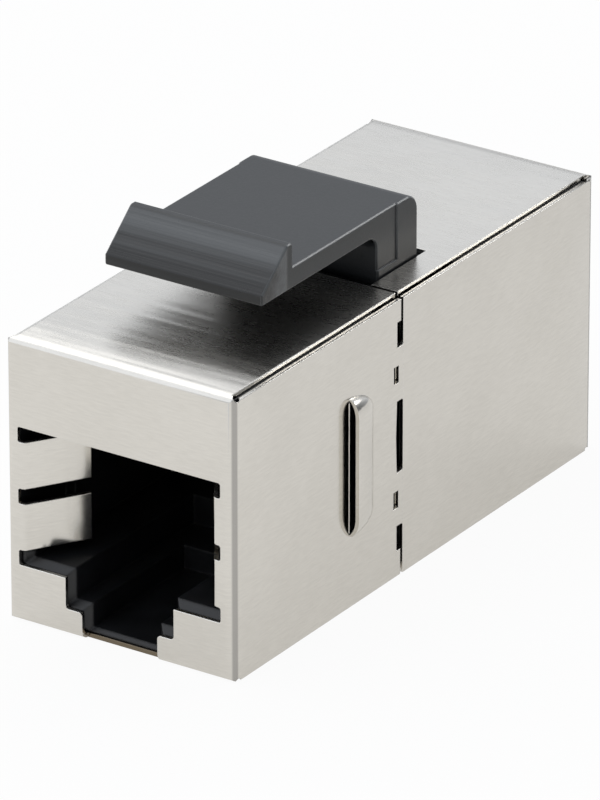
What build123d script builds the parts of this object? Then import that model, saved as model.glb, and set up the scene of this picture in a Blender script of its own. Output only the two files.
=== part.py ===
"""Shielded RJ45 inline coupler in the keystone format: two stamped shells round two back-to-back jacks.

Millimetres. X runs across the coupler, Y along it with the front socket at -Y, and Z up.
The origin is the middle of the underside.
"""

import os

from build123d import *

# Body
body_width = 14.5
body_height = 16.5
body_length = 35.7

# Sheet metal of the two shells
sheet = 0.25
bend_radius = 0.55
flap_gap = 0.13
corner_relief_radius = 0.2
corner_relief_inset = 0.12
seam_y = -1.42
seam_gap = 0.25
fit_gap = 0.05

# Seam on the side panels, with heights measured from mid height
tongue_offset = 3.69
tongue_height = 3.16
tongue_reach = 0.62
tongue_root = 2.0
seam_slot_width = 0.62
seam_slot_kink = 0.08
seam_slot_margin = 1.5
seam_slot_corner = 0.12
window_height = 1.0
window_width = 0.5
window_setback = 0.43

# Socket opening in the end panels: top and sides measured from the body's, the rest from the underside
opening_drop = 4.98
opening_side = 1.0
relief_slot_depth = 0.22
relief_slot_height = 0.9
ledge_height = 3.4
shoulder_half_width = 3.47
shoulder_height = 1.6
notch_half_width = 2.42
slot_corner_radius = 0.15
shoulder_radius = 0.22

# Grounding fingers, two on each side of a socket
finger_bend_radius = 0.2
finger_turn = 57.0
finger_run = 3.7
finger_root = 0.3

# Stops and catch slots that hold the coupler in a panel
stop_setback = 11.15
stop_height = 8.05
stop_rise = 0.66
stop_length = 2.13
stop_end_length = 1.1
catch_inner_x = 2.7
catch_side = 1.65
catch_pocket = 0.6

# Latch, with heights measured from the top of the body and its width from the body's sides
latch_side = 2.23
latch_foot_step = 0.08
latch_slot_side_gap = 0.1
latch_slot_back_gap = 0.7
latch_seam_gap = 0.79
latch_leg = 3.87
latch_bar = 1.97
latch_foot_height = 0.45
latch_underside = 2.47
latch_plate = 1.25
latch_ridge_rise = 1.4
latch_ridge_setback = 9.1
latch_ridge_land = 0.5
latch_nose_length = 2.43
latch_tip_height = 0.6
latch_inner_radius = 0.78
latch_back_radius = 1.0
latch_ridge_radius = 0.2
latch_edge_radius = 0.1
latch_side_chamfer = 0.08
latch_base_lip = 0.8
latch_base_tail = 3.0

# Plug socket in the plastic housings, set in from the edges of the panel's opening by a lip of plastic
housing_setback = 0.1
housing_back = 0.95
socket_side_lip = 0.33
socket_floor_lip = 0.35
socket_roof_lip = 0.17
keyway_side_lip = 0.22
keyway_floor_lip = 0.38
groove_side_lip = 0.24
groove_floor = 0.6
keyway_depth = 11.5
groove_depth = 9.0
mouth_chamfer = 0.4
finger_pocket = 0.65
finger_pocket_depth = 4.2
finger_pocket_margin = 0.2
waist_inset = 0.35
waist_length = 3.0

# Contact carriers, one behind each socket
carrier_lift = 0.8
carrier_side_gap = 0.52
carrier_back_setback = 2.0
carrier_slab = 1.45
carrier_nose_setback = 3.9
carrier_nose_radius = 0.5
carrier_wall = 1.4
carrier_wall_gap = 0.15
comb_depth = 0.6
comb_height = 2.0
boss_width = 1.4
boss_margin = 0.25
boss_lift = 1.75

# Spring contacts
contact_count = 8
contact_pitch = 1.02
contact_width = 0.42
contact_thickness = 0.28
contact_clearance = 0.05
contact_bend_radius = 0.42
contact_nose_gap = 0.45
contact_drop = 0.4
contact_fall = 3.1
contact_tip_gap = 0.3
tail_step = 1.4
tail_length = 0.4
tail_lead = 0.4

# Circuit board between the two jacks
board_thickness = 1.2
board_side_gap = 0.8
board_drop = 1.25
board_edge = 0.94
board_headroom = 0.3
board_hole_radius = 0.35
board_hole_sides = 8
board_corner_radius = 0.6

# Places that follow from the sizes above
overcut = 1.0
front_y = -body_length / 2
middle_z = body_height / 2
side_x = body_width / 2
inner_x = side_x - sheet
inner_top = body_height - sheet
housing_x = inner_x - fit_gap
housing_bottom = sheet + fit_gap
housing_top = inner_top - fit_gap
housing_front = front_y + sheet + housing_setback
opening_top = body_height - opening_drop
opening_half_width = side_x - opening_side
stop_y = front_y + stop_setback
catch_outer_x = side_x - catch_side
tongue_centres = (middle_z - tongue_offset, middle_z + tongue_offset)
ridge_y = front_y + latch_ridge_setback
leg_front = seam_y + latch_seam_gap
leg_back = leg_front + latch_leg
latch_half_width = side_x - latch_side
latch_foot_half_width = latch_half_width + latch_foot_step
latch_base_half_width = latch_foot_half_width + latch_base_lip
socket_half_width = opening_half_width - socket_side_lip
socket_floor = ledge_height + socket_floor_lip
socket_roof = opening_top - socket_roof_lip
keyway_half_width = shoulder_half_width - keyway_side_lip
keyway_floor = shoulder_height + keyway_floor_lip
groove_half_width = notch_half_width - groove_side_lip
carrier_half_width = socket_half_width - carrier_side_gap
carrier_bottom = socket_roof + carrier_lift
carrier_top = carrier_bottom + carrier_slab
carrier_nose = front_y + carrier_nose_setback
carrier_back = -carrier_back_setback
wire_z = carrier_top - contact_thickness / 2
board_front = -board_thickness / 2
board_half_width = inner_x - board_side_gap
board_bottom = socket_floor - board_drop
board_top = wire_z + board_edge
base_bottom = board_top + board_headroom
contact_places = [contact_pitch * (n - (contact_count - 1) / 2) for n in range(contact_count)]


def block(x0, x1, y0, y1, z0, z1):
    """Box between two opposite corners."""
    centre = Pos((x0 + x1) / 2, (y0 + y1) / 2, (z0 + z1) / 2)
    return centre * Box(x1 - x0, y1 - y0, z1 - z0)


def across(half_width, y0, y1, z0, z1):
    """Box that is centred on the coupler's middle plane."""
    return block(-half_width, half_width, y0, y1, z0, z1)


def both_sides(solid):
    """A right-hand feature and its mirror image."""
    return [solid, mirror(solid, about=Plane.YZ)]


def turned(solid):
    """The same piece at the other end of the coupler."""
    return Rot(0, 0, 180) * solid


def front_outline(rectangles):
    """Union of upright rectangles, each given by half width, bottom and top."""
    outline = Sketch()
    for half_width, bottom, top in rectangles:
        outline += Pos(0, (bottom + top) / 2) * Rectangle(2 * half_width, top - bottom)
    return outline


def facing_front(outline, y):
    """A flat outline stood up in the plane at y, with its X across and its Y up."""
    return Plane(origin=(0, y, 0), x_dir=(1, 0, 0), z_dir=(0, -1, 0)) * outline


def into_front(outline, y, depth):
    """Solid that runs from the plane at y into the coupler."""
    return extrude(facing_front(outline, y), amount=depth, dir=(0, 1, 0))


def side_plane(x, z=0):
    """Plane seen from the right, with its X along the coupler and its Y up."""
    return Plane(origin=(x, 0, z), x_dir=(0, 1, 0), z_dir=(1, 0, 0))


# Shells


def relief_slots():
    """Bottom and top of the three slots that free the fingers, from the top down."""
    middle = (opening_top + ledge_height) / 2
    return [
        (opening_top - relief_slot_height, opening_top),
        (middle - relief_slot_height / 2, middle + relief_slot_height / 2),
        (ledge_height, ledge_height + relief_slot_height),
    ]


def panel_opening():
    """Socket outline in an end panel: window, finger relief slots, shoulders and latch notch."""
    rectangles = [
        (opening_half_width, ledge_height, opening_top),
        (shoulder_half_width, shoulder_height, opening_top),
        (notch_half_width, -overcut, opening_top),
    ]
    for bottom, top in relief_slots():
        rectangles.append((opening_half_width + relief_slot_depth, bottom, top))
    outline = front_outline(rectangles)
    root_x = opening_half_width + relief_slot_depth / 2
    slot_ends = [v for v in outline.vertices() if abs(v.X) > root_x]
    outline = fillet(slot_ends, slot_corner_radius)
    shoulders = [v for v in outline.vertices() if 0 < v.Y <= ledge_height and abs(v.X) < opening_half_width]
    return fillet(shoulders, shoulder_radius)


def finger(bottom, top):
    """Right-hand grounding finger, rolled inward from the end panel."""
    start_y = front_y + sheet / 2
    root = Line((opening_half_width + finger_root, start_y), (opening_half_width, start_y))
    bend = JernArc(root @ 1, root % 1, finger_bend_radius, -finger_turn)
    run = Line(bend @ 1, bend @ 1 + finger_run * (bend % 1))
    strip = trace(Curve() + [root, bend, run], line_width=sheet)
    return Pos(0, 0, bottom) * extrude(strip, amount=top - bottom, dir=(0, 0, 1))


def fingers():
    """The four grounding fingers of one socket, each between two relief slots."""
    slots = relief_slots()
    solids = []
    for above, below in zip(slots, slots[1:]):
        solids += both_sides(finger(below[1], above[0]))
    return solids


def end_shell(depth):
    """Stamped box at the front end, with open corners between its flaps, its socket opening and fingers."""
    open_y = front_y + depth
    outside = across(side_x, front_y, open_y, 0, body_height)
    outside = fillet(outside.edges().group_by(Axis.Y)[0], bend_radius)
    inside = across(inner_x, front_y + sheet, open_y + overcut, sheet, inner_top)
    inside = fillet(inside.edges().group_by(Axis.Y)[0], bend_radius - sheet)
    shell = outside - inside
    flap_x = inner_x - flap_gap
    flap_y = front_y + bend_radius
    relief_x = side_x - corner_relief_inset
    top_gap = block(flap_x, side_x + overcut, flap_y, open_y + overcut, inner_top, body_height + overcut)
    bottom_gap = block(flap_x, inner_x, flap_y, open_y + overcut, -overcut, sheet + fit_gap)
    for gap, relief_z, rise in ((top_gap, body_height - corner_relief_inset, 1), (bottom_gap, 0, -1)):
        corner = Plane(origin=(relief_x, flap_y, relief_z), z_dir=(1, -1, rise))
        relief = corner * Cylinder(corner_relief_radius, 2 * bend_radius)
        for cut in both_sides(gap + relief):
            shell -= cut
    shell -= into_front(panel_opening(), front_y - overcut, overcut + bend_radius)
    for solid in fingers():
        shell += solid
    return shell


def seam_cut():
    """What the right-hand seam takes from the front shell: slots, thin gaps and tongue windows."""
    thin_y = seam_y - seam_gap
    slot_y = seam_y - seam_slot_width
    corner_y = seam_y - seam_slot_corner
    low = tongue_offset - tongue_height / 2
    high = tongue_offset + tongue_height / 2
    end = middle_z + overcut
    slot_end = middle_z - seam_slot_margin
    middle_slot = make_face(Polyline(
        (seam_y, seam_slot_corner - low), (corner_y, -low), (slot_y, -low), (slot_y - seam_slot_kink, 0),
        (slot_y, low), (corner_y, low), (seam_y, low - seam_slot_corner), close=True))
    end_slot = make_face(Polyline(
        (seam_y, high + seam_slot_corner), (corner_y, high), (slot_y, high), (slot_y, slot_end),
        (thin_y, slot_end), (thin_y, end), (seam_y, end), close=True))
    window_y = seam_y - window_setback - window_width / 2
    window = Pos(window_y, tongue_offset) * Rectangle(window_width, window_height)
    upper = Sketch() + [end_slot, window]
    profile = Sketch() + [middle_slot, upper, mirror(upper, about=Plane.XZ)]
    return extrude(side_plane(inner_x - fit_gap, middle_z) * profile, amount=overcut, dir=(1, 0, 0))


def stop_louvre(x):
    """Right-hand louvre raised from the plane at x: open and highest at stop_y, with rounded ends."""
    straight = stop_height / (2 * stop_end_length) - 1
    pill = Cylinder(1, 2 * straight)
    for end in (-straight, straight):
        pill += Pos(0, 0, end) * Sphere(1)
    pill = scale(pill, by=(stop_rise, stop_length, stop_end_length))
    return Pos(x, stop_y, middle_z) * pill & block(x, side_x + overcut, stop_y, seam_y, 0, body_height)


def with_stops(shell):
    """Shell with a louvre on each side that stops against the back of a panel."""
    for solid in both_sides(stop_louvre(side_x)):
        shell += solid
    for cut in both_sides(stop_louvre(inner_x)):
        shell -= cut
    return shell


def catch_slot(top):
    """Right-hand slot in the underside that takes the lower edge of a panel's opening."""
    return block(catch_inner_x, catch_outer_x, ridge_y, stop_y, -overcut, top)


def front_shell():
    """Front half of the shield, with the panel stops on its sides and the catch slot underneath."""
    shell = end_shell(seam_y - front_y)
    for z0, z1 in ((inner_top - fit_gap, body_height + overcut), (-overcut, sheet + fit_gap)):
        shell -= across(side_x + overcut, seam_y - seam_gap, seam_y + overcut, z0, z1)
    for cut in both_sides(seam_cut()):
        shell -= cut
    for cut in both_sides(catch_slot(sheet + fit_gap)):
        shell -= cut
    return with_stops(shell)


def tongue(centre):
    """Right-hand tongue that joggles inward from the rear shell and slides behind the front one."""
    inside = inner_x - fit_gap
    root_y = seam_y + tongue_root
    tip_y = seam_y - tongue_reach
    section = make_face(Polyline(
        (inner_x, root_y), (inner_x, seam_y + sheet), (inside, seam_y), (inside, tip_y),
        (inside - sheet, tip_y), (inside - sheet, seam_y), close=True))
    bottom = centre - tongue_height / 2 + fit_gap
    return Pos(0, 0, bottom) * extrude(section, amount=tongue_height - 2 * fit_gap, dir=(0, 0, 1))


def rear_shell():
    """Rear half of the shield, with its seam tongues and the slot that the latch stands in."""
    shell = turned(end_shell(-seam_y - front_y))
    slot_half_width = latch_foot_half_width + latch_slot_side_gap
    shell -= across(slot_half_width, seam_y - overcut, leg_back + latch_slot_back_gap,
                    inner_top - fit_gap, body_height + overcut)
    for centre in tongue_centres:
        for solid in both_sides(tongue(centre)):
            shell += solid
    return shell


# Latch


def latch_profile():
    """Side outline of the latch above the body, from the foot of its leg round to its back."""
    plate_z = body_height + latch_underside
    top_z = plate_z + latch_plate
    ridge_z = top_z + latch_ridge_rise
    ridge_front = ridge_y - latch_ridge_land
    tip_y = ridge_front - latch_nose_length
    tip_z = plate_z + latch_tip_height
    outline = make_face(Polyline(
        (leg_front, base_bottom), (leg_front, plate_z), (tip_y, plate_z), (tip_y, tip_z),
        (ridge_front, ridge_z), (ridge_y, ridge_z), (ridge_y, top_z), (leg_back, top_z),
        (leg_back, base_bottom), close=True))
    rounded = [
        ((leg_front, plate_z), latch_inner_radius),
        ((leg_back, top_z), latch_back_radius),
        ((ridge_front, ridge_z), latch_ridge_radius),
        ((ridge_y, ridge_z), latch_ridge_radius),
        ((tip_y, tip_z), latch_edge_radius),
        ((tip_y, plate_z), latch_edge_radius),
    ]
    for corner, radius in rounded:
        outline = fillet(outline.vertices().sort_by_distance(corner)[0], radius)
    return outline


def softened_prism(half_width):
    """The latch's side outline carried across the coupler, with its two outer rims broken."""
    prism = extrude(side_plane(0) * latch_profile(), amount=half_width, dir=(1, 0, 0), both=True)
    rims = prism.edges().group_by(Axis.X)
    return chamfer(rims[0] + rims[-1], latch_side_chamfer)


def keystone_latch():
    """Moulded latch: arm with a ridged nose, leg with a proud back bar and foot, and the base under it."""
    latch = softened_prism(latch_half_width)
    bar_front = leg_back - latch_bar
    clear_of_bar = across(side_x, front_y, bar_front, body_height + latch_foot_height, 2 * body_height)
    latch += softened_prism(latch_foot_half_width) - clear_of_bar
    latch += across(latch_base_half_width, leg_front, leg_back + latch_base_tail, base_bottom, housing_top)
    return latch


# Jacks


def socket_outline():
    """Plug socket with its two-step keyway, as seen from the front."""
    return front_outline([
        (socket_half_width, socket_floor, socket_roof),
        (keyway_half_width, keyway_floor, socket_roof),
        (groove_half_width, groove_floor, socket_roof),
    ])


def housing():
    """Front jack housing, with its socket, mouth chamfer, finger pockets and carrier chamber."""
    solid = across(housing_x, housing_front, -housing_back, housing_bottom, housing_top)
    solid = chamfer(solid.edges().group_by(Axis.Y)[0], bend_radius - sheet)
    solid -= across(socket_half_width, housing_front - overcut, 0, socket_floor, socket_roof)
    solid -= across(keyway_half_width, housing_front - overcut, housing_front + keyway_depth,
                    keyway_floor, socket_roof)
    solid -= across(groove_half_width, housing_front - overcut, housing_front + groove_depth,
                    groove_floor, socket_roof)
    mouth = socket_outline()
    wide = offset(mouth, mouth_chamfer, kind=Kind.INTERSECTION)
    solid -= loft([facing_front(wide, housing_front).face(),
                   facing_front(mouth, housing_front + mouth_chamfer).face()], ruled=True)
    pocket_bottom = ledge_height + relief_slot_height - finger_pocket_margin
    solid -= across(socket_half_width + finger_pocket, housing_front - overcut,
                    housing_front + finger_pocket_depth, pocket_bottom, opening_top - finger_pocket_margin)
    solid -= across(carrier_half_width, carrier_nose - contact_nose_gap - contact_thickness, 0,
                    socket_floor, carrier_top + fit_gap)
    waist = block(housing_x - waist_inset, side_x, -housing_back - waist_length, 0, -overcut, body_height)
    for cut in both_sides(waist):
        solid -= cut
    return solid


def front_housing():
    """Front jack housing, with clearance for a panel's edge in the catch slots."""
    solid = housing()
    for cut in both_sides(catch_slot(housing_bottom + catch_pocket)):
        solid -= cut
    return solid


def rear_housing():
    """Rear jack housing, with the recess that the latch's base lies in."""
    recess = across(latch_base_half_width + fit_gap, 0, leg_back + latch_base_tail + fit_gap,
                    base_bottom - fit_gap, body_height)
    return turned(housing()) - recess


def contact_carrier():
    """Front carrier: a slab grooved for the contacts, a combed back wall and two bosses for the board."""
    half_width = carrier_half_width - fit_gap
    slab = across(half_width, carrier_nose, carrier_back, carrier_bottom, carrier_top)
    slab = fillet(slab.edges().group_by(Axis.Y)[0].filter_by(Axis.X), carrier_nose_radius)
    wall_front = carrier_back - carrier_wall
    wall_bottom = socket_floor + carrier_wall_gap
    solid = slab + across(half_width, wall_front, carrier_back, wall_bottom, carrier_top)
    tip_z = carrier_bottom - contact_drop - contact_fall
    slot = contact_width / 2 + contact_clearance
    for x in contact_places:
        solid -= block(x - slot, x + slot, front_y, carrier_back + overcut,
                       carrier_top - contact_thickness - contact_clearance, carrier_top + overcut)
        solid -= block(x - slot, x + slot, front_y, wall_front + comb_depth,
                       tip_z - comb_height / 2, tip_z + comb_height / 2)
    boss_x = half_width - boss_margin
    boss_z = socket_floor + boss_lift
    boss = block(boss_x - boss_width, boss_x, carrier_back, board_front,
                 boss_z - boss_width / 2, boss_z + boss_width / 2)
    for solid_boss in both_sides(boss):
        solid += solid_boss
    return solid


def contact(x, tail_drop=0):
    """Front spring contact: through the board, along the carrier, round its nose and into the socket."""
    tail = [(tail_length - board_front, wire_z - tail_drop)]
    if tail_drop:
        tail.append((board_front - tail_lead, wire_z - tail_drop))
        tail.append((carrier_back + contact_bend_radius, wire_z))
    nose_y = carrier_nose - contact_nose_gap
    sweep_z = carrier_bottom - contact_drop
    tip_y = carrier_back - carrier_wall - contact_tip_gap
    nose = [(nose_y, wire_z), (nose_y, sweep_z), (tip_y, sweep_z - contact_fall)]
    path = FilletPolyline(*tail, *nose, radius=contact_bend_radius)
    strip = trace(path, line_width=contact_thickness)
    return extrude(side_plane(x - contact_width / 2) * strip, amount=contact_width, dir=(1, 0, 0))


def circuit_board():
    """Upright board with one row of plated holes for each jack's contact tails."""
    outline = RectangleRounded(2 * board_half_width, board_top - board_bottom, board_corner_radius)
    outline = Pos(0, (board_top + board_bottom) / 2) * outline
    for x in contact_places:
        for tail_z in (wire_z, wire_z - tail_step):
            outline -= Pos(x, tail_z) * RegularPolygon(board_hole_radius, board_hole_sides)
    return into_front(outline, board_front, board_thickness)


def pieces():
    """Every piece of the coupler under its own name."""
    named = {
        "front_shell": front_shell(),
        "rear_shell": rear_shell(),
        "front_housing": front_housing(),
        "rear_housing": rear_housing(),
        "keystone_latch": keystone_latch(),
        "circuit_board": circuit_board(),
        "front_contact_carrier": contact_carrier(),
        "rear_contact_carrier": turned(contact_carrier()),
    }
    for number, x in enumerate(contact_places, start=1):
        named[f"front_contact_{number}"] = contact(x)
        named[f"rear_contact_{number}"] = turned(contact(x, tail_step))
    return named


os.makedirs("parts", exist_ok=True)
for name, solid in pieces().items():
    export_step(solid, f"parts/{name}.step")
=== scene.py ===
# %% [markdown]
# # A shielded network coupler, dressed for its photograph
#
# The object is a small metal box with a network socket at each end and a plastic latch on top. Its shapes
# and sizes come from the packed CAD model, which is loaded as a fixed frame. Blender's share is what CAD
# does not give: the plated metal, the moulded plastics, the light and the camera.

# %% The packed model
import math

import bpy
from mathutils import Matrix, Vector


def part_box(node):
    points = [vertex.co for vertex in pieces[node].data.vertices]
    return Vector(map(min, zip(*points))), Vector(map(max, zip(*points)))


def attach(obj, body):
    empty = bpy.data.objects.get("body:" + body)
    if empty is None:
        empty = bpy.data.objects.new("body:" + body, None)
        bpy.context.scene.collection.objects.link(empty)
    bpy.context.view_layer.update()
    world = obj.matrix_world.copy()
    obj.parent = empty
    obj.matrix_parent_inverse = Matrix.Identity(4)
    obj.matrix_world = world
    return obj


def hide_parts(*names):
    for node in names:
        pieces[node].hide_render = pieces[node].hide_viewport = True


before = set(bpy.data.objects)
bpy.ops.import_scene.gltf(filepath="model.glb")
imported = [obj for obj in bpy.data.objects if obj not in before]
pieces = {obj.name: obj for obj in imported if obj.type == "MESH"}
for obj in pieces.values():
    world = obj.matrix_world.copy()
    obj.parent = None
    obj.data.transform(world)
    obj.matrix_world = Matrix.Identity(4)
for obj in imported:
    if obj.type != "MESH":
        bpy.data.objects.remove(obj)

scene = bpy.context.scene
bpy.ops.object.select_all(action="DESELECT")
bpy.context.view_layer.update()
print("CAD pieces:", len(pieces))

# %% [markdown]
# ## The camera
#
# The photograph is a product shot from above the front right corner. Its upright edges stay upright and
# its other edges close in only a little, so the lens is long and stands far away. A camera can be placed
# by eye, or worked out from the corners of a box whose size is known. The second way was chosen here,
# because the box's corners are sharp in the picture. The shift only moves the frame, as a cropped
# photograph does.

# %% Camera
camera_target = Vector((0.0, 0.0, 0.00825))
camera_turn = math.radians(33.454)
camera_rise = math.radians(24.698)
camera_distance = 0.53917

towards_camera = Vector((
    math.sin(camera_turn) * math.cos(camera_rise),
    -math.cos(camera_turn) * math.cos(camera_rise),
    math.sin(camera_rise),
))
bpy.ops.object.camera_add(location=camera_target + camera_distance * towards_camera)
camera = bpy.context.object
camera.name = "product_camera"
camera.rotation_euler = (-towards_camera).to_track_quat("-Z", "Y").to_euler()
camera.data.lens = 448.4
camera.data.sensor_width = 36.0
camera.data.shift_x = -0.00623
camera.data.shift_y = -0.0086
camera.data.clip_start = 0.01
scene.camera = camera
print("camera at", [round(v, 4) for v in camera.location])

# %% [markdown]
# ## Wires between nodes
#
# A finish is a small sum over noises and masks. Dragging nodes by mouse shows that sum as a drawing, and
# writing it in code can get long. This class wraps one socket, so that plus, minus and times on it add
# the Math nodes by themselves, and a finish reads like a formula. One method adds every other kind of
# node.

# %% Wire
class Wire:
    """One output socket of a node tree, which can be added, multiplied and passed on to further nodes."""

    def __init__(self, socket):
        self.socket = socket

    def node(self, kind, settings=None, inputs=None, output=0):
        """Add a node to the same tree: first its settings, then the values or wires of its sockets."""
        tree = self.socket.id_data
        added = tree.nodes.new(kind)
        for name, value in (settings or {}).items():
            setattr(added, name, value)
        for name, value in (inputs or {}).items():
            if isinstance(value, Wire):
                tree.links.new(value.socket, added.inputs[name])
            else:
                added.inputs[name].default_value = value
        return Wire(added.outputs[output])

    def maths(self, operation, other, swapped=False):
        first, second = (other, self) if swapped else (self, other)
        return self.node("ShaderNodeMath", {"operation": operation}, {0: first, 1: second})

    def __add__(self, other):
        return self.maths("ADD", other)

    def __radd__(self, other):
        return self.maths("ADD", other, True)

    def __sub__(self, other):
        return self.maths("SUBTRACT", other)

    def __rsub__(self, other):
        return self.maths("SUBTRACT", other, True)

    def __mul__(self, other):
        return self.maths("MULTIPLY", other)

    def __rmul__(self, other):
        return self.maths("MULTIPLY", other, True)

    def __abs__(self):
        return self.maths("ABSOLUTE", 0.0)

    def fade(self, start, end):
        """0 where this value is at start, 1 where it is at end, with a soft step between."""
        return self.node(
            "ShaderNodeMapRange", {"interpolation_type": "SMOOTHSTEP"},
            {0: self, 1: start, 2: end, 3: 0.0, 4: 1.0})

    def part(self, letter):
        """One coordinate of a vector."""
        return self.node("ShaderNodeSeparateXYZ", inputs={0: self}, output=letter)

    def along(self, direction):
        """How far this vector points along a direction, as their dot product."""
        return self.node(
            "ShaderNodeVectorMath", {"operation": "DOT_PRODUCT"}, {0: self, 1: direction}, "Value")

    def stretched(self, x, y, z):
        """A vector with its three coordinates multiplied, which sets how fine a pattern is each way."""
        return self.node("ShaderNodeVectorMath", {"operation": "MULTIPLY"}, {0: self, 1: (x, y, z)})

    def noise(self, scale, detail=2.0, roughness=0.5):
        """Cloudy noise from 0 to 1 at this vector."""
        return self.node("ShaderNodeTexNoise", inputs={
            "Vector": self, "Scale": scale, "Detail": detail, "Roughness": roughness})

    def colours(self, low, high):
        """The colour low where this value is 0, and high where it is 1."""
        return self.node("ShaderNodeMix", {"data_type": "RGBA"}, {0: self, 6: low, 7: high}, 2)

    def painted(self, share, colour):
        """This colour, with another one laid over it by a share from 0 to 1."""
        return share.colours(self, colour)


print("a wire can", [name for name in vars(Wire) if not name.startswith("_")])

# %% [markdown]
# ## What every finish needs
#
# Each material here starts in the same way, from one shader and from the place on the object. Using
# Blender's image coordinates would need an unwrapped mesh, so the place in metres is used, and patterns
# get their real size from it. Edges and grain are then bumps: they tilt the normal that the light meets,
# and leave the mesh alone.

# %% Helpers for finishes
bevel_samples = 6


def new_finish(name):
    """A material with its shader and a wire that carries the place on the object, in metres."""
    material = bpy.data.materials.new(name)
    material.use_nodes = True
    nodes = material.node_tree.nodes
    place = Wire(nodes.new("ShaderNodeTexCoord").outputs["Object"])
    return material, nodes["Principled BSDF"], place


def feed(shader, socket, wire):
    """Link a wire to one of a shader's own sockets."""
    wire.socket.id_data.links.new(wire.socket, shader.inputs[socket])


def rounded_normal(place, radius):
    """The normal, turned evenly over every edge within this radius."""
    return place.node("ShaderNodeBevel", {"samples": bevel_samples}, {"Radius": radius})


def roughen(shader, height, strength, distance, normal=None):
    """Tilt a shader's normal by a height, where a height of 1 stands for this distance in metres."""
    inputs = {"Strength": strength, "Distance": distance, "Height": height}
    if normal:
        inputs["Normal"] = normal
    feed(shader, "Normal", height.node("ShaderNodeBump", inputs=inputs))


print("the shader maths is ready")

# %% [markdown]
# ## The floor
#
# The coupler was photographed on white. Bare metal shows little of its own colour. It shows what stands
# around it, so the floor is what paints the end and side panels. A plain white floor would do for the
# background, but the panels are a warm grey that is darker towards the rear. So the floor is a real pale
# surface that takes the shadow, white is mixed in where it is looked at directly, and a warm glow,
# brighter towards the front, is mixed in where metal mirrors it.

# %% Floor
floor_size = 1.6
glow_start = 0.07
glow_full = -0.03
mirrored_share = 0.6
seen_share = 0.94

bpy.ops.mesh.primitive_plane_add(size=floor_size, location=(0.0, 0.0, 0.0))
floor = bpy.context.object
floor.name = "studio_floor"
floor_paint, floor_shader, floor_place = new_finish("studio_white")
floor_shader.inputs["Roughness"].default_value = 0.9
floor_shader.inputs["Specular IOR Level"].default_value = 0.1
pale = floor_place.noise(3.0).colours((0.86, 0.855, 0.845, 1.0), (0.88, 0.875, 0.865, 1.0))
feed(floor_shader, "Base Color", pale)
seen = floor_place.node("ShaderNodeLightPath", output="Is Camera Ray")
mirrored = floor_place.node("ShaderNodeLightPath", output="Is Glossy Ray")
sheen = floor_place.part("Y").fade(glow_start, glow_full).colours(
    (0.78, 0.765, 0.74, 1.0), (1.0, 0.985, 0.955, 1.0))
mirror_glow = floor_place.node("ShaderNodeEmission", inputs={"Color": sheen, "Strength": 1.0})
white_glow = floor_place.node("ShaderNodeEmission", inputs={"Color": (1.0, 1.0, 1.0, 1.0), "Strength": 1.0})
mirrored_floor = floor_place.node("ShaderNodeMixShader", inputs={
    0: mirrored_share * mirrored, 1: Wire(floor_shader.outputs[0]), 2: mirror_glow})
white_floor = floor_place.node("ShaderNodeMixShader", inputs={
    0: seen_share * seen, 1: mirrored_floor, 2: white_glow})
floor_output = floor_paint.node_tree.nodes["Material Output"]
floor_paint.node_tree.links.new(white_floor.socket, floor_output.inputs["Surface"])
floor.data.materials.append(floor_paint)
print("floor", floor.name)

# %% [markdown]
# ## Lamps
#
# The photograph tells where its light stood. The rounded top edge of the front panel has one narrow
# highlight on its upper half, so the main lamp hangs overhead, a little to the left. The latch's right
# edges carry a fine pale line, so a second, smaller lamp stands behind on the right. Spot lamps would
# give hard shadows. Square area lamps are used because the shadow in the photograph is soft.

# %% Lamps
def softbox(name, place, size, power, colour):
    """A square area lamp that points at the coupler."""
    bpy.ops.object.light_add(type="AREA", location=place)
    lamp = bpy.context.object
    lamp.name = name
    lamp.rotation_euler = (camera_target - Vector(place)).to_track_quat("-Z", "Y").to_euler()
    lamp.data.size = size
    lamp.data.energy = power
    lamp.data.color = colour
    return lamp


lamps = [
    softbox("overhead_softbox", (-0.34, 0.12, 0.58), 0.52, 0.78, (1.0, 0.99, 0.975)),
    softbox("rear_right_softbox", (0.28, 0.52, 0.36), 0.20, 0.55, (1.0, 0.99, 0.98)),
]
print("lamps", [lamp.name for lamp in lamps])

# %% [markdown]
# ## The sky
#
# What the lamps leave dark is lit by the room. The top panel mirrors the left of it and is pale, while
# the latch is dark towards the right, so the room is bright on the left and dim on the right. A little
# more light comes from the front left, for the lower half of the front panel's top edge. A photograph of
# a studio could be used as the sky. Two soft steps along a direction are enough here, and nothing has to
# be loaded for them. Their sum may pass 1, so the mix of the two colours is not clamped.

# %% Sky
left_direction = (-0.9, 0.1, 0.4)
front_left_direction = (-0.5, -0.77, 0.4)
front_left_share = 0.35

sky = bpy.data.worlds.new("studio_sky")
sky.use_nodes = True
sky_nodes = sky.node_tree.nodes
look = Wire(sky_nodes.new("ShaderNodeTexCoord").outputs["Generated"])
left_light = look.along(left_direction).fade(-0.6, 0.5)
front_left_light = look.along(front_left_direction).fade(0.45, 0.95)
brightness = left_light + front_left_share * front_left_light
sky_colour = brightness.colours((0.14, 0.145, 0.15, 1.0), (0.86, 0.89, 0.94, 1.0))
sky_colour.socket.node.clamp_factor = False
sky.node_tree.links.new(sky_colour.socket, sky_nodes["Background"].inputs["Color"])
scene.world = sky
scene.view_settings.view_transform = "Standard"
print("sky", sky.name)
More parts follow.
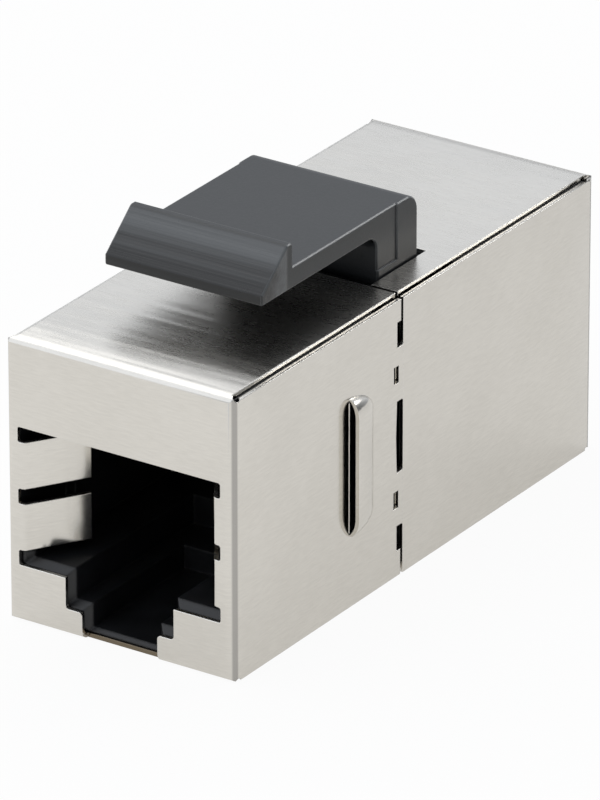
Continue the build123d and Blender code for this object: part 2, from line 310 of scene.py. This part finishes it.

# %% [markdown]
# ## Places on the sheet
#
# Wear and the painted dark reflection on the bends belong to places: the bends at the corners, the cut
# edge under the socket, the fingers inside. Such a place could be painted by hand on the mesh. Here each
# one is a mask, a product of soft steps along the coupler's own axes, and most of them are measured from
# the box of the packed shell.

# %% Masks
shell_low, shell_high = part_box("front_shell")
end_y = -shell_low.y
louvre_rise = 0.00066
side_x = shell_high.x - louvre_rise
bend_radius = 0.00055
sheet = 0.00025
notch_x = 0.0024


def upright_bends(place):
    """1 on the outer half of the four upright bends, where a darker colour is painted in as a dark
    reflection.
    """
    away = abs(place.part("Y"))
    aside = abs(place.part("X"))
    band = away.fade(end_y - bend_radius, end_y - 0.00042) * away.fade(end_y - 0.0001, end_y - 0.00022)
    return band * aside.fade(side_x - 0.00024, side_x - 0.00014)


def bare_edges(place):
    """1 on the cut front edge of the bottom sheet in the latch notches, where the bronze is bare."""
    away = abs(place.part("Y"))
    near = away.fade(end_y - bend_radius - 0.0001, end_y - bend_radius - 0.00005)
    low = place.part("Z").fade(sheet + 0.00009, sheet + 0.00003)
    return near * low * abs(place.part("X")).fade(notch_x + 0.00006, notch_x)


def pressed_fingers(place):
    """1 on the spring fingers inside the two sockets, which were bent in by a narrow tool."""
    away = abs(place.part("Y"))
    inside = abs(place.part("X")).fade(side_x - 0.0003, side_x - 0.0005)
    return inside * away.fade(0.008, 0.010) * away.fade(end_y - 0.0003, end_y - 0.0009)


print("panels at", round(side_x, 5), round(end_y, 5), round(shell_high.z, 5))

# %% [markdown]
# ## Satin nickel on rolled sheet
#
# The shells are stamped from thin rolled sheet and nickel plated. Rolling leaves very fine parallel
# lines, which run level on the upright panels and across the coupler on the top and the underside. An
# anisotropic gloss would smear the light in the same way, but it does not show single lines. So a noise
# that is stretched one way gives them: a coarse one to the colour and the roughness, and one finer than a
# hair to a very shallow bump.
#
# Modelled bevels would round every cut edge, at the price of many faces. The Bevel node rounds only the
# shading, and where its normal leaves the flat one, there is an edge, which gets a paler colour as a
# painted highlight. The outer half of each upright bend gets a darker colour as a painted dark
# reflection. Two things are left to the bump as well: the dents that the tool pressed into the fingers,
# and the two ends of the panels, which roll gently into the bends.

# %% Satin nickel
grain_fineness = 9000.0
grain_run = 8.0
fine_grain_fineness = 60000.0
fine_grain_run = 20.0
roll_length = 0.0043
roll_height = 2.5e6
dent_height = 9.0


def sheet_grain(place, flat, fineness, run):
    """Fine rolling lines: level on upright faces, across the coupler on the top and the underside."""
    level = place.stretched(fineness / run, fineness / run, fineness).noise(1.0, 3.0, 0.6)
    across = place.stretched(fineness / run, fineness, fineness / run).noise(1.0, 3.0, 0.6)
    return level + flat * (across - level)


def satin_nickel():
    material, shader, place = new_finish("satin_nickel")
    facing = place.node("ShaderNodeNewGeometry", output="Normal")
    flat = abs(facing.part("Z")).fade(0.5, 0.85)
    grain = sheet_grain(place, flat, grain_fineness, grain_run)
    fine_grain = sheet_grain(place, flat, fine_grain_fineness, fine_grain_run)
    clouds = place.noise(260.0, 3.0)
    rounded = rounded_normal(place, 0.00007)
    edge = rounded.along(facing).fade(0.995, 0.9)
    painted_dark_bends = upright_bends(place)
    tint = (0.65 * grain + 0.35 * clouds).fade(0.25, 0.75)
    plate = tint.colours((0.675, 0.652, 0.607, 1.0), (0.745, 0.722, 0.676, 1.0))
    # The paler colour on the edges is a painted highlight.
    plate_with_painted_highlight = plate.painted(0.6 * edge, (0.84, 0.825, 0.79, 1.0))
    # The darker colour on the outer half of each upright bend is a painted dark reflection.
    stretched = plate_with_painted_highlight.painted(0.8 * painted_dark_bends, (0.36, 0.35, 0.335, 1.0))
    feed(shader, "Base Color", stretched.painted(bare_edges(place), (0.20, 0.165, 0.12, 1.0)))
    uneven = 0.08 * (grain - 0.5) + 0.05 * (clouds - 0.5)
    feed(shader, "Roughness", 0.15 + 0.13 * flat + uneven + 0.1 * painted_dark_bends - 0.04 * edge)
    shader.inputs["Metallic"].default_value = 1.0
    lines = (0.15 + 0.85 * flat) * (0.38 * fine_grain + 0.01 * grain)
    dents = pressed_fingers(place) * place.stretched(60.0, 900.0, 60.0).noise(1.0, 1.0)
    roll = (abs(place.part("Y")) - (end_y - roll_length)).maths("MAXIMUM", 0.0)
    height = lines + dent_height * dents - roll_height * roll * roll
    roughen(shader, height, 0.8, 0.00001, rounded)
    return material


nickel = satin_nickel()
print("finish", nickel.name)

# %% [markdown]
# ## Charcoal plastic of the latch
#
# The latch is moulded in a stiff charcoal plastic from a tool with a fine satin texture. One flat colour
# would look like rubber. What makes it read as plastic is the grain of the gloss, so a fine noise drives
# a bump. The sloping nose was drawn smooth in the tool, and shows soft bands along its width. The bands
# are noise in the bump, and in the colour, where with a paler ridge and a darker tip they are a painted
# reflection, only in front of the ridge. The slim chamfers beside the plate and the rounded edges get a
# paler colour as a painted highlight and a lower roughness, and the underside gets a darker colour as
# painted shade.

# %% Charcoal plastic
nose_length = 0.00243
nose_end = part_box("keystone_latch")[0].y
nose_ridge = nose_end + nose_length
# A black used for painted shade under the latch and for the dark tip of the nose's painted reflection.
painted_shade_black = (0.003, 0.0035, 0.004, 1.0)


def charcoal_plastic():
    material, shader, place = new_finish("charcoal_plastic")
    texture = place.noise(7000.0, 2.0, 0.6)
    clouds = place.noise(420.0, 3.0)
    on_nose = place.part("Y").fade(nose_ridge + 0.0001, nose_ridge - 0.0002)
    bands = place.stretched(25.0, 1500.0, 1500.0).noise(1.0, 2.0, 0.5)
    streaks = place.stretched(60.0, 7000.0, 7000.0).noise(1.0, 2.0, 0.5)
    drawn = on_nose * (0.7 * bands + 0.3 * streaks)
    facing = place.node("ShaderNodeNewGeometry", output="Normal")
    rounded = rounded_normal(place, 0.00008)
    chamfer = (abs(facing.part("X")) * abs(facing.part("Z"))).fade(0.3, 0.42)
    edge = rounded.along(facing).fade(0.995, 0.92).maths("MAXIMUM", chamfer)
    # A darker colour on faces turned downwards is painted shade.
    painted_underside_shade = facing.part("Z").fade(-0.2, -0.8)
    tint = (0.6 * clouds + 0.4 * texture).fade(0.3, 0.7)
    moulded = tint.colours((0.014, 0.016, 0.018, 1.0), (0.019, 0.022, 0.024, 1.0))
    # The pale ridge, dark tip and bands in the nose's colour are a painted reflection.
    nose_painted_reflection = on_nose * (place.part("Y").fade(nose_end + 0.0003, nose_ridge) + 1.3 * (bands - 0.5))
    slope = nose_painted_reflection.fade(-0.1, 1.1).colours(painted_shade_black, (0.095, 0.101, 0.105, 1.0))
    # The paler colour on the chamfers and rounded edges is a painted highlight.
    with_painted_light = moulded.painted(on_nose, slope).painted(0.7 * edge, (0.20, 0.21, 0.215, 1.0))
    feed(shader, "Base Color", with_painted_light.painted(painted_underside_shade, painted_shade_black))
    uneven = 0.12 * (texture - 0.5) + 0.08 * (clouds - 0.5) + 0.2 * (drawn - 0.5 * on_nose)
    feed(shader, "Roughness", 0.42 + uneven - 0.1 * on_nose - 0.24 * edge)
    shader.inputs["Specular IOR Level"].default_value = 0.55
    roughen(shader, texture + 8.0 * drawn, 0.25, 0.00002, rounded)
    return material


charcoal = charcoal_plastic()
print("finish", charcoal.name, "nose from", round(nose_end, 5), "to", round(nose_ridge, 5))

# %% [markdown]
# ## Black plastic of the sockets
#
# The two jack housings are moulded in black plastic, glossier than the latch. Only the mouth shows, with
# its chamfer catching a bluish grey light, and the rest falls into the dark of the socket. The carriers
# behind are the same plastic from another tool. Two materials could be written out, but they differ only
# in shade, gloss and grain, so one function makes both.

# %% Black plastics
def black_plastic(name, shade, gloss, fineness):
    material, shader, place = new_finish(name)
    texture = place.noise(fineness, 2.0, 0.6)
    clouds = place.noise(500.0, 2.0)
    darker = tuple(0.75 * c for c in shade) + (1.0,)
    paler = tuple(1.25 * c for c in shade) + (1.0,)
    feed(shader, "Base Color", clouds.fade(0.3, 0.7).colours(darker, paler))
    feed(shader, "Roughness", gloss + 0.10 * (texture - 0.5) + 0.08 * (clouds - 0.5))
    roughen(shader, texture, 0.2, 0.00001, rounded_normal(place, 0.00022))
    return material


housing_black = black_plastic("housing_black", (0.011, 0.0115, 0.013), 0.32, 5000.0)
carrier_black = black_plastic("carrier_black", (0.014, 0.014, 0.016), 0.45, 8000.0)
print("finishes", housing_black.name, carrier_black.name)

# %% [markdown]
# ## Gold on the contacts, and the board
#
# The spring contacts are bronze wire with a flash of gold, drawn through a die, so faint lines run along
# them. The board between the two jacks is glass fibre under a green lacquer. Both sit deep inside and are
# seen only straight into a socket, and a flat colour would pass. They are finished as the rest is,
# because the part may be opened in another scene.

# %% Gold and board
def drawn_gold():
    material, shader, place = new_finish("drawn_gold")
    lines = place.stretched(12000.0, 300.0, 300.0).noise(1.0, 2.0)
    clouds = place.noise(900.0, 2.0)
    tint = clouds.fade(0.3, 0.7)
    feed(shader, "Base Color", tint.colours((0.78, 0.55, 0.20, 1.0), (0.88, 0.67, 0.30, 1.0)))
    feed(shader, "Roughness", 0.22 + 0.10 * (lines - 0.5) + 0.06 * (clouds - 0.5))
    shader.inputs["Metallic"].default_value = 1.0
    roughen(shader, lines, 0.1, 0.00001)
    return material


def green_board():
    material, shader, place = new_finish("green_board")
    weave = place.stretched(2400.0, 2400.0, 2400.0).noise(1.0, 1.0)
    clouds = place.noise(300.0, 2.0)
    tint = (0.4 * weave + 0.6 * clouds).fade(0.3, 0.7)
    feed(shader, "Base Color", tint.colours((0.012, 0.085, 0.035, 1.0), (0.022, 0.125, 0.055, 1.0)))
    feed(shader, "Roughness", 0.28 + 0.12 * (weave - 0.5))
    roughen(shader, weave, 0.15, 0.00001)
    return material


gold = drawn_gold()
board_green = green_board()
print("finishes", gold.name, board_green.name)

# %% [markdown]
# ## Each piece gets its finish
#
# The packed pieces carry one plain material slot each. New objects could be made for all of them, but
# their shapes are right, so they stay, and only what fills that slot is changed. What is not listed is a
# contact, and is gold.

# %% Finishes on the pieces
finishes = {
    "front_shell": nickel,
    "rear_shell": nickel,
    "keystone_latch": charcoal,
    "front_housing": housing_black,
    "rear_housing": housing_black,
    "front_contact_carrier": carrier_black,
    "rear_contact_carrier": carrier_black,
    "circuit_board": board_green,
}
for name, piece in pieces.items():
    piece.material_slots[0].material = finishes.get(name, gold)
print({name: piece.material_slots[0].material.name for name, piece in pieces.items() if name in finishes})

# %% [markdown]
# ## Smooth skins
#
# Stamped sheet bends in an even curve. The packed model holds each curve as a few flat strips, and
# plating that mirrors its surroundings shows them as hard stripes. More strips would make the model
# heavy, and plain smooth shading would also tilt the flat panels. So a copy of the piece is merged into
# one skin and gets its own normals: a panel keeps the one it has, and a bend turns evenly from one panel
# to the next.

# %% Skins
panel_alignment = 0.9999
merge_distance = 0.000001
smooth_angle = 50.0
area_scale = 1.0e6


def bend_normals(mesh, limit):
    """One normal for each face corner: flat panels keep theirs, and bends run smoothly into them."""
    is_panel = [max(abs(way) for way in face.normal) > panel_alignment for face in mesh.polygons]
    around = {}
    for face in mesh.polygons:
        for corner in face.vertices:
            around.setdefault(corner, []).append(face)
    normals = []
    for face in mesh.polygons:
        for corner in face.vertices:
            near = [other for other in around[corner] if other.normal.dot(face.normal) > limit]
            panels = [other for other in near if is_panel[other.index]]
            chosen = [face] if is_panel[face.index] else panels or near
            pulls = (area_scale * other.area * other.normal for other in chosen)
            normals.append(sum(pulls, Vector()).normalized())
    return normals


def smooth_skin(name, angle):
    """A merged copy of a packed piece, shaded smooth over its bends, which stands for the piece."""
    bpy.ops.object.select_all(action="DESELECT")
    pieces[name].select_set(True)
    bpy.context.view_layer.objects.active = pieces[name]
    bpy.ops.object.duplicate()
    skin = bpy.context.object
    skin.name = name + "_skin"
    bpy.ops.object.mode_set(mode="EDIT")
    bpy.ops.mesh.select_all(action="SELECT")
    bpy.ops.mesh.remove_doubles(threshold=merge_distance)
    bpy.ops.object.mode_set(mode="OBJECT")
    bpy.ops.object.shade_smooth()
    skin.data.normals_split_custom_set(bend_normals(skin.data, math.cos(math.radians(angle))))
    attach(skin, "root")
    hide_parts(name)
    return skin


skins = [
    smooth_skin("front_shell", smooth_angle),
    smooth_skin("rear_shell", smooth_angle),
]
print("skins", {skin.name: len(skin.data.polygons) for skin in skins})

# %% [markdown]
# ## The burr on each louvre's cut
#
# A louvre is sheared on one side and pushed out on the other, and the shear leaves a fine bright burr
# along the cut. It is thinner than a hair, so it could be left to the finish, but it catches the light as
# a broken line. A slim rod is cut into short lengths, made uneven by moving its points a little, and
# rounded.

# %% Burrs
burr_radius = 0.00004
burr_length = 0.0078
burr_y = -0.0067
burr_middle = 0.00825
burr_sides = 8
burr_cuts = 27
burr_unevenness = 0.4


def louvre_burr(name, side):
    """An uneven bead along the cut edge of one louvre."""
    bpy.ops.object.select_all(action="DESELECT")
    bpy.ops.mesh.primitive_cylinder_add(
        vertices=burr_sides, radius=burr_radius, depth=burr_length,
        location=(side * side_x, burr_y, burr_middle))
    burr = bpy.context.object
    burr.name = name
    bpy.ops.object.transform_apply(location=True, rotation=False, scale=False)
    bpy.ops.object.mode_set(mode="EDIT")
    bpy.ops.mesh.select_mode(type="EDGE")
    bpy.ops.mesh.select_all(action="DESELECT")
    bpy.ops.object.mode_set(mode="OBJECT")
    points = burr.data.vertices
    for edge in burr.data.edges:
        first, last = (points[corner].co.z for corner in edge.vertices)
        edge.select = abs(first - last) > burr_radius
    bpy.ops.object.mode_set(mode="EDIT")
    bpy.ops.mesh.subdivide(number_cuts=burr_cuts)
    bpy.ops.mesh.select_all(action="SELECT")
    bpy.ops.transform.vertex_random(offset=burr_unevenness * burr_radius, seed=5)
    bpy.ops.object.mode_set(mode="OBJECT")
    rounding = burr.modifiers.new("rounding", "SUBSURF")
    rounding.levels = 1
    rounding.render_levels = 1
    bpy.ops.object.modifier_apply(modifier=rounding.name)
    bpy.ops.object.shade_smooth()
    burr.data.materials.append(nickel)
    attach(burr, "root")
    return burr


burrs = [louvre_burr("right_louvre_burr", 1.0), louvre_burr("left_louvre_burr", -1.0)]
print("burrs", {burr.name: len(burr.data.polygons) for burr in burrs})

# %% [markdown]
# ## The size, and the end
#
# Blender must not change the object's size.
